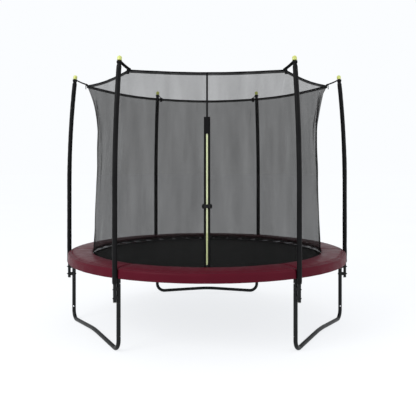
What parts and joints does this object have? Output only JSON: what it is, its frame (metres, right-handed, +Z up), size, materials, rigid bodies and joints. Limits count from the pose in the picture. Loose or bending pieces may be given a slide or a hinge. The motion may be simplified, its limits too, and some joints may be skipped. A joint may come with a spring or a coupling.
{
  "type": "trampoline",
  "caption": "Round garden trampoline on W-shaped tube legs, with a padded spring cover and a pole-hung safety net with a zipped, buckled door",
  "frame": {"origin": "on the ground, under the middle of the mat and of the base", "axes": "+Z up, -Y out through the net door (front), +X to the right seen from the front"},
  "size_m": [2.5232, 2.47, 2.1958],
  "materials": {
    "black_tube": "black powder coat, semi-gloss",
    "zinc_bolts": "bright zinc plate",
    "grey_plug": "pale grey moulded end plug",
    "black_plastic": "moulded, fine grain",
    "black_bolts": "black plate, satin",
    "sleeve_foam": "black vinyl cloth over foam",
    "lime_plastic": "glossy lime yellow",
    "spring_steel": "galvanised spring wire",
    "black_webbing": "ribbed polyester webbing",
    "mat_fabric": "tight black woven polypropylene",
    "pad_vinyl": "burgundy PVC-coated cloth, low sheen",
    "pad_foam": "closed-cell foam",
    "elastic_cord": "braided elastic cord",
    "net_mesh": "fine black knitted mesh, see-through",
    "zip_cloth": "black woven tape",
    "zip_teeth": "pale lime moulded teeth",
    "zip_metal": "black enamel",
    "buckle_plastic": "black acetal, smooth"
  },
  "bodies": {
    "frame": {"frame_rail_1": "black_tube", "frame_rail_2": "black_tube", "frame_rail_3": "black_tube", "frame_rail_4": "black_tube", "frame_rail_5": "black_tube", "frame_rail_6": "black_tube", "upright_1": "black_tube", "upright_2": "black_tube", "upright_3": "black_tube", "upright_4": "black_tube", "upright_5": "black_tube", "upright_6": "black_tube", "leg_base_rear": "black_tube", "leg_base_left": "black_tube", "leg_base_right": "black_tube", "leg_bolts": "zinc_bolts", "pole_lower_1": "black_tube", "pole_lower_2": "black_tube", "pole_lower_3": "black_tube", "pole_lower_4": "black_tube", "pole_lower_5": "black_tube", "pole_lower_6": "black_tube", "poles_upper": "black_tube", "pole_plugs": "grey_plug", "pole_spacers": "black_plastic", "pole_bolts": "black_bolts", "pole_nuts": "black_bolts", "pole_sleeves": "sleeve_foam", "pole_caps": "lime_plastic", "springs": "spring_steel", "pad_cover_1": "pad_vinyl", "pad_cover_2": "pad_vinyl", "pad_cover_3": "pad_vinyl", "pad_cover_4": "pad_vinyl", "pad_cover_5": "pad_vinyl", "pad_cover_6": "pad_vinyl", "pad_foam": "pad_foam", "pad_ties": "elastic_cord", "net_panel_1": "net_mesh", "net_panel_2": "net_mesh", "net_panel_3": "net_mesh", "net_panel_4": "net_mesh", "net_panel_5": "net_mesh", "net_door_left": "net_mesh", "net_door_right": "net_mesh", "net_door_head": "net_mesh", "net_top_cord": "elastic_cord", "corner_straps": "black_webbing", "door_webbing": "black_webbing", "zip_flap": "zip_cloth", "zip_tapes": "zip_cloth", "zip_teeth": "zip_teeth", "buckle_socket": "buckle_plastic"},
    "mat_edge": {"v_rings": "spring_steel", "mat_webbing": "black_webbing", "mat_border": "mat_fabric"},
    "mat_middle": {"mat_centre": "mat_fabric"},
    "slider": {"zip_slider": "zip_metal"},
    "pull": {"zip_pull": "zip_metal"},
    "plug": {"buckle_plug": "buckle_plastic"}
  },
  "joints": [
    {"name": "mat_bounce", "type": "slide", "parent": "frame", "child": "mat_edge", "axis": [0, 0, -1], "range_m": [0, 0.08], "stiffness_N_per_m": 8000, "springref_m": -0.02, "deforming": ["springs"]},
    {"name": "mat_sink", "type": "slide", "parent": "mat_edge", "child": "mat_middle", "axis": [0, 0, -1], "range_m": [0, 0.22]},
    {"name": "zip_slide", "type": "slide", "parent": "frame", "child": "slider", "axis": [0, 0.0718, 0.9974], "range_m": [0, 0.97]},
    {"name": "pull_swing", "type": "hinge", "parent": "slider", "child": "pull", "pos_m": [0, -1.00707, 0.63741], "axis": [1, 0, 0], "range_deg": [0, 150]},
    {"name": "buckle_release", "type": "slide", "parent": "frame", "child": "plug", "axis": [1, 0, 0], "range_m": [0, 0.03]}
  ],
  "couplings": [
    {"joint": "mat_sink", "follows": "mat_bounce", "ratio": 2.75}
  ]
}
